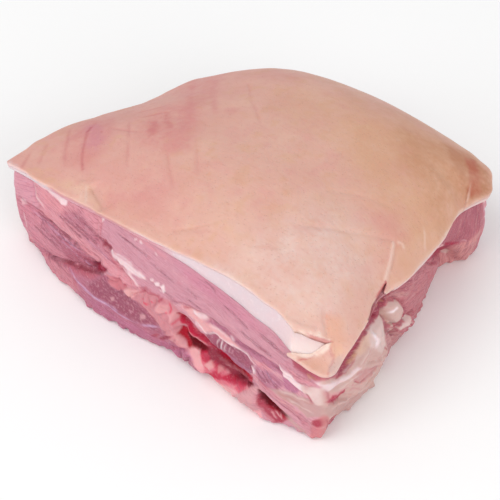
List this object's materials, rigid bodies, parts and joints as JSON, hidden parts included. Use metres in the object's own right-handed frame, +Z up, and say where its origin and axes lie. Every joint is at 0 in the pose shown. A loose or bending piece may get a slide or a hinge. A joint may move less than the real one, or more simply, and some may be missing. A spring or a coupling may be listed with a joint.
{
  "type": "pork loin roast",
  "caption": "Raw boneless block of pork with a domed rind over white back fat, cut square to show pink muscle, seams and lumps of fat; lies flat on its underside.",
  "frame": {"origin": "under the middle of the joint's box, on the surface that it lies on", "axes": "+X along the joint, +Z up through the rind; the long cut face looks to -Y and the short cut face to +X"},
  "size_m": [0.2714, 0.2386, 0.0988],
  "materials": {
    "rind_and_fat": "smooth pale skin, satin and faintly moist, with white fat at its cut edges",
    "lean_meat": "moist fibrous muscle with pale seams of fat"
  },
  "bodies": {
    "root": {"fat_layer": "rind_and_fat", "meat": "lean_meat"}
  },
  "joints": []
}
